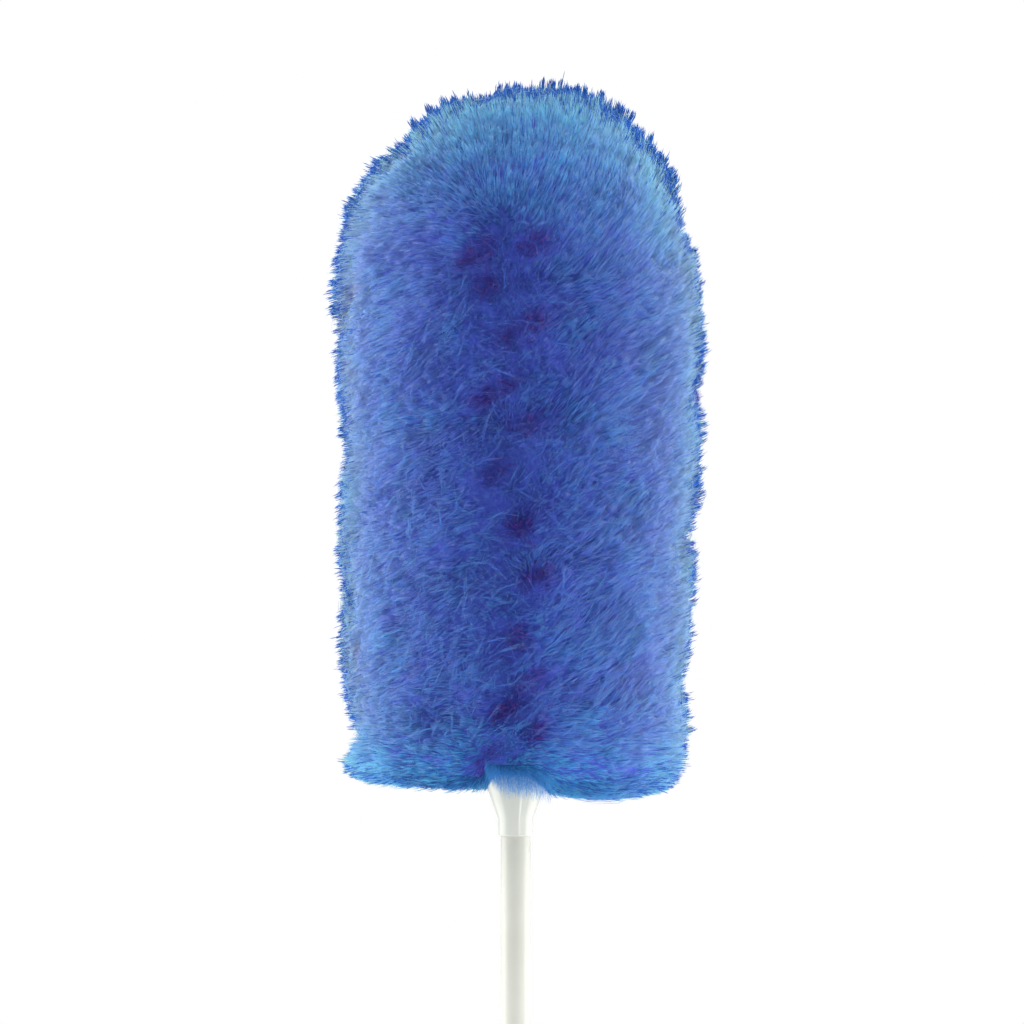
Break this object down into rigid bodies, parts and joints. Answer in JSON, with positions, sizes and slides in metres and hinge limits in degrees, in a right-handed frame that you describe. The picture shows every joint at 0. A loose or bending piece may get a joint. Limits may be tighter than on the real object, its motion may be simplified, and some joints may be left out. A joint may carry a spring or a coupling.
{
  "type": "extendable lambswool duster",
  "caption": "Extendable duster: a long-pile blue wool head wound on a core, a white cone with a collar, and a twist-lock telescoping handle with a ribbed grip and a hang-up cap.",
  "frame": {"origin": "middle of the hand grip, on the common axis of the tubes, with the duster pushed fully in", "axes": "+Z along the handle towards the wool head; +X and +Y across it, with the head's fuller side at +X and the hang-up hole running along Y"},
  "size_m": [0.1824, 0.183, 0.8993],
  "materials": {
    "white_gloss_plastic": "gloss",
    "grip_vinyl": "satin",
    "natural_nylon": "satin",
    "grey_core_plastic": "satin",
    "zinc_steel": "satin",
    "dyed_pelt": "matte",
    "dyed_lambswool": "matte"
  },
  "bodies": {
    "handle": {"outer_tube": "white_gloss_plastic", "mouth_collar": "white_gloss_plastic", "hand_grip": "grip_vinyl", "end_cap": "white_gloss_plastic"},
    "lock_ring": {"cam_ring": "natural_nylon"},
    "head": {"inner_tube": "white_gloss_plastic", "cam_spindle": "natural_nylon", "spindle_pin": "zinc_steel", "cone_ferrule": "white_gloss_plastic", "core_tube": "grey_core_plastic", "core_plug": "grey_core_plastic", "tip_disc": "zinc_steel", "tip_screw": "zinc_steel", "pelt_strip": "dyed_pelt", "pelt_tack_1": "zinc_steel", "pelt_tack_2": "zinc_steel", "pelt_tack_3": "zinc_steel", "pelt_tack_4": "zinc_steel", "pelt_tack_5": "zinc_steel", "wool_pile": "dyed_lambswool"}
  },
  "joints": [
    {"name": "extend", "type": "slide", "parent": "handle", "child": "lock_ring", "axis": [0, 0, 1], "range_m": [0, 0.33]},
    {"name": "twist_lock", "type": "hinge", "parent": "lock_ring", "child": "head", "pos_m": [0, 0, 0], "axis": [0, 0, 1], "range_deg": [-30, 30]}
  ]
}
